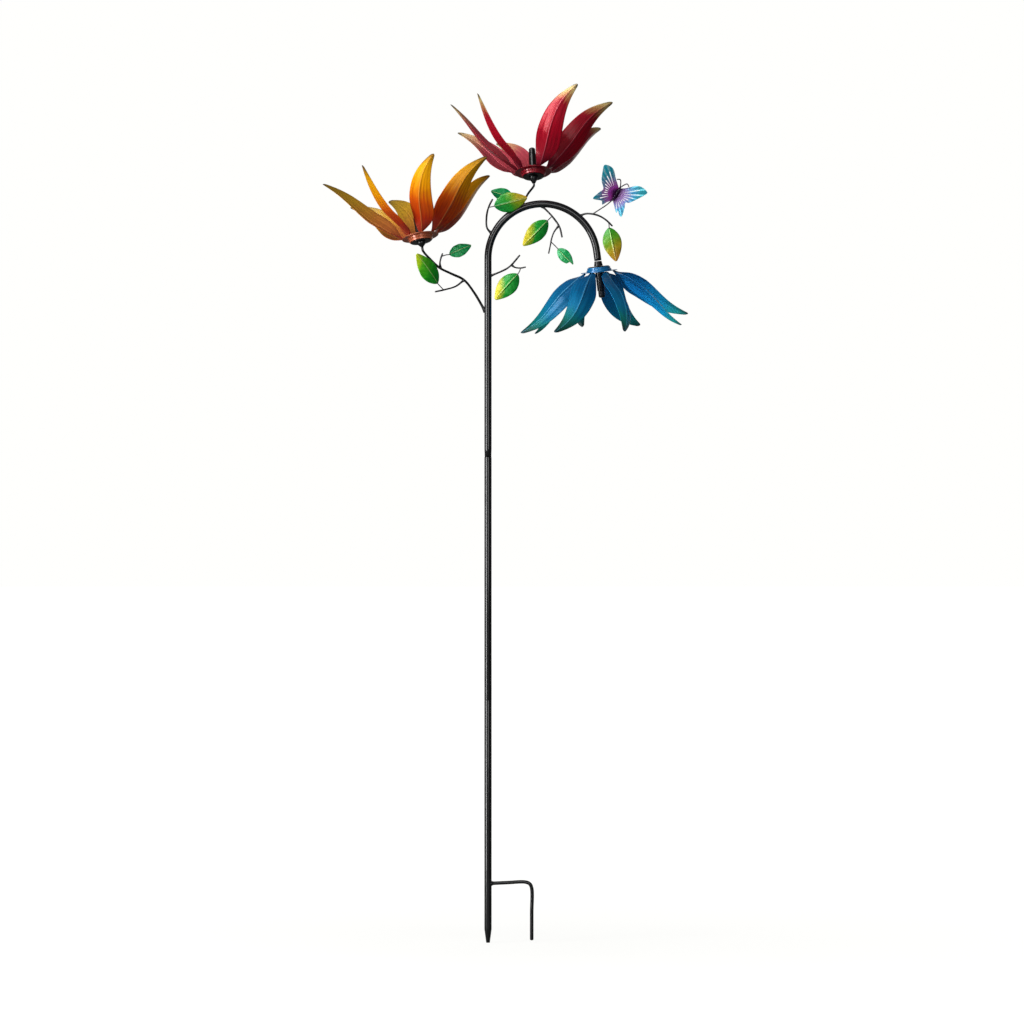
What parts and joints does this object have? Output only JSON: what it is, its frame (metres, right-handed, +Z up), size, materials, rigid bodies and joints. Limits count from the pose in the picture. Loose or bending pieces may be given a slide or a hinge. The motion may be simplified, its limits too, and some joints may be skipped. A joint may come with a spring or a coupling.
{
  "type": "wind spinner",
  "caption": "Garden stake wind spinner: a hooked pole with painted metal flowers that each turn on their own bearing, with leaves on wires, a butterfly and a step-in fork.",
  "frame": {"origin": "on the pole's axis where it meets the ground", "axes": "+Z up along the pole, +X to the right towards the hooked end, -Y towards the front, where the orange flower stands"},
  "size_m": [0.8116, 0.4925, 1.9026],
  "materials": {
    "pole_paint": "satin black powder coat",
    "bearing_paint": "gloss black paint",
    "red_paint": "metallic crimson paint that fades to gold at the petal tips",
    "orange_paint": "metallic orange paint that fades from rust red to gold at the petal tips",
    "blue_paint": "metallic blue paint that fades to teal at the petal tips",
    "leaf_paint": "gloss green paint that fades to yellow at the leaf tips",
    "wing_paint": "pearl cyan paint that fades to purple at the body",
    "butterfly_body_paint": "dark purple paint",
    "bare_steel": "bright zinc plate"
  },
  "bodies": {
    "stand": {"lower_stake": "pole_paint", "middle_tube": "pole_paint", "crook": "pole_paint", "fork": "pole_paint", "orange_branch": "pole_paint", "red_stem": "pole_paint", "left_twig": "pole_paint", "right_twig": "pole_paint", "arch_inner_twig": "pole_paint", "arch_right_twig": "pole_paint", "leaf_orange_large": "leaf_paint", "leaf_orange_small": "leaf_paint", "leaf_left_large": "leaf_paint", "leaf_red_small": "leaf_paint", "leaf_right_large": "leaf_paint", "leaf_arch_large": "leaf_paint", "leaf_arch_small": "leaf_paint", "leaf_outer_large": "leaf_paint", "butterfly_wings": "wing_paint", "butterfly_body": "butterfly_body_paint", "red_spindle": "bearing_paint", "orange_spindle": "bearing_paint", "blue_spindle": "bearing_paint", "red_bearing_ball": "bare_steel", "orange_bearing_ball": "bare_steel", "blue_washer": "bare_steel", "blue_nut": "bare_steel"},
    "red_rotor": {"red_petal_1": "red_paint", "red_petal_2": "red_paint", "red_petal_3": "red_paint", "red_petal_4": "red_paint", "red_petal_5": "red_paint", "red_petal_6": "red_paint", "red_petal_7": "red_paint", "red_petal_8": "red_paint", "red_dish": "red_paint", "red_bearing_tube": "bearing_paint", "red_bearing_cap": "bearing_paint"},
    "orange_rotor": {"orange_petal_1": "orange_paint", "orange_petal_2": "orange_paint", "orange_petal_3": "orange_paint", "orange_petal_4": "orange_paint", "orange_petal_5": "orange_paint", "orange_petal_6": "orange_paint", "orange_petal_7": "orange_paint", "orange_petal_8": "orange_paint", "orange_dish": "orange_paint", "orange_bearing_tube": "bearing_paint", "orange_bearing_cap": "bearing_paint"},
    "blue_rotor": {"blue_petal_1": "blue_paint", "blue_petal_2": "blue_paint", "blue_petal_3": "blue_paint", "blue_petal_4": "blue_paint", "blue_petal_5": "blue_paint", "blue_petal_6": "blue_paint", "blue_petal_7": "blue_paint", "blue_petal_8": "blue_paint", "blue_dish": "blue_paint", "blue_bearing_tube": "bearing_paint", "blue_bearing_cap": "bearing_paint"}
  },
  "joints": [
    {"name": "red_spin", "type": "hinge", "parent": "stand", "child": "red_rotor", "pos_m": [0.1004, 0.05, 1.586], "axis": [-0.0495, 0.3256, 0.9442], "continuous": true},
    {"name": "orange_spin", "type": "hinge", "parent": "stand", "child": "orange_rotor", "pos_m": [-0.149, -0.08, 1.4355], "axis": [-0.1779, 0.2164, 0.9599], "continuous": true},
    {"name": "blue_spin", "type": "hinge", "parent": "stand", "child": "blue_rotor", "pos_m": [0.2466, 0.0015, 1.3607], "axis": [0.113, 0.0628, -0.9916], "continuous": true}
  ]
}
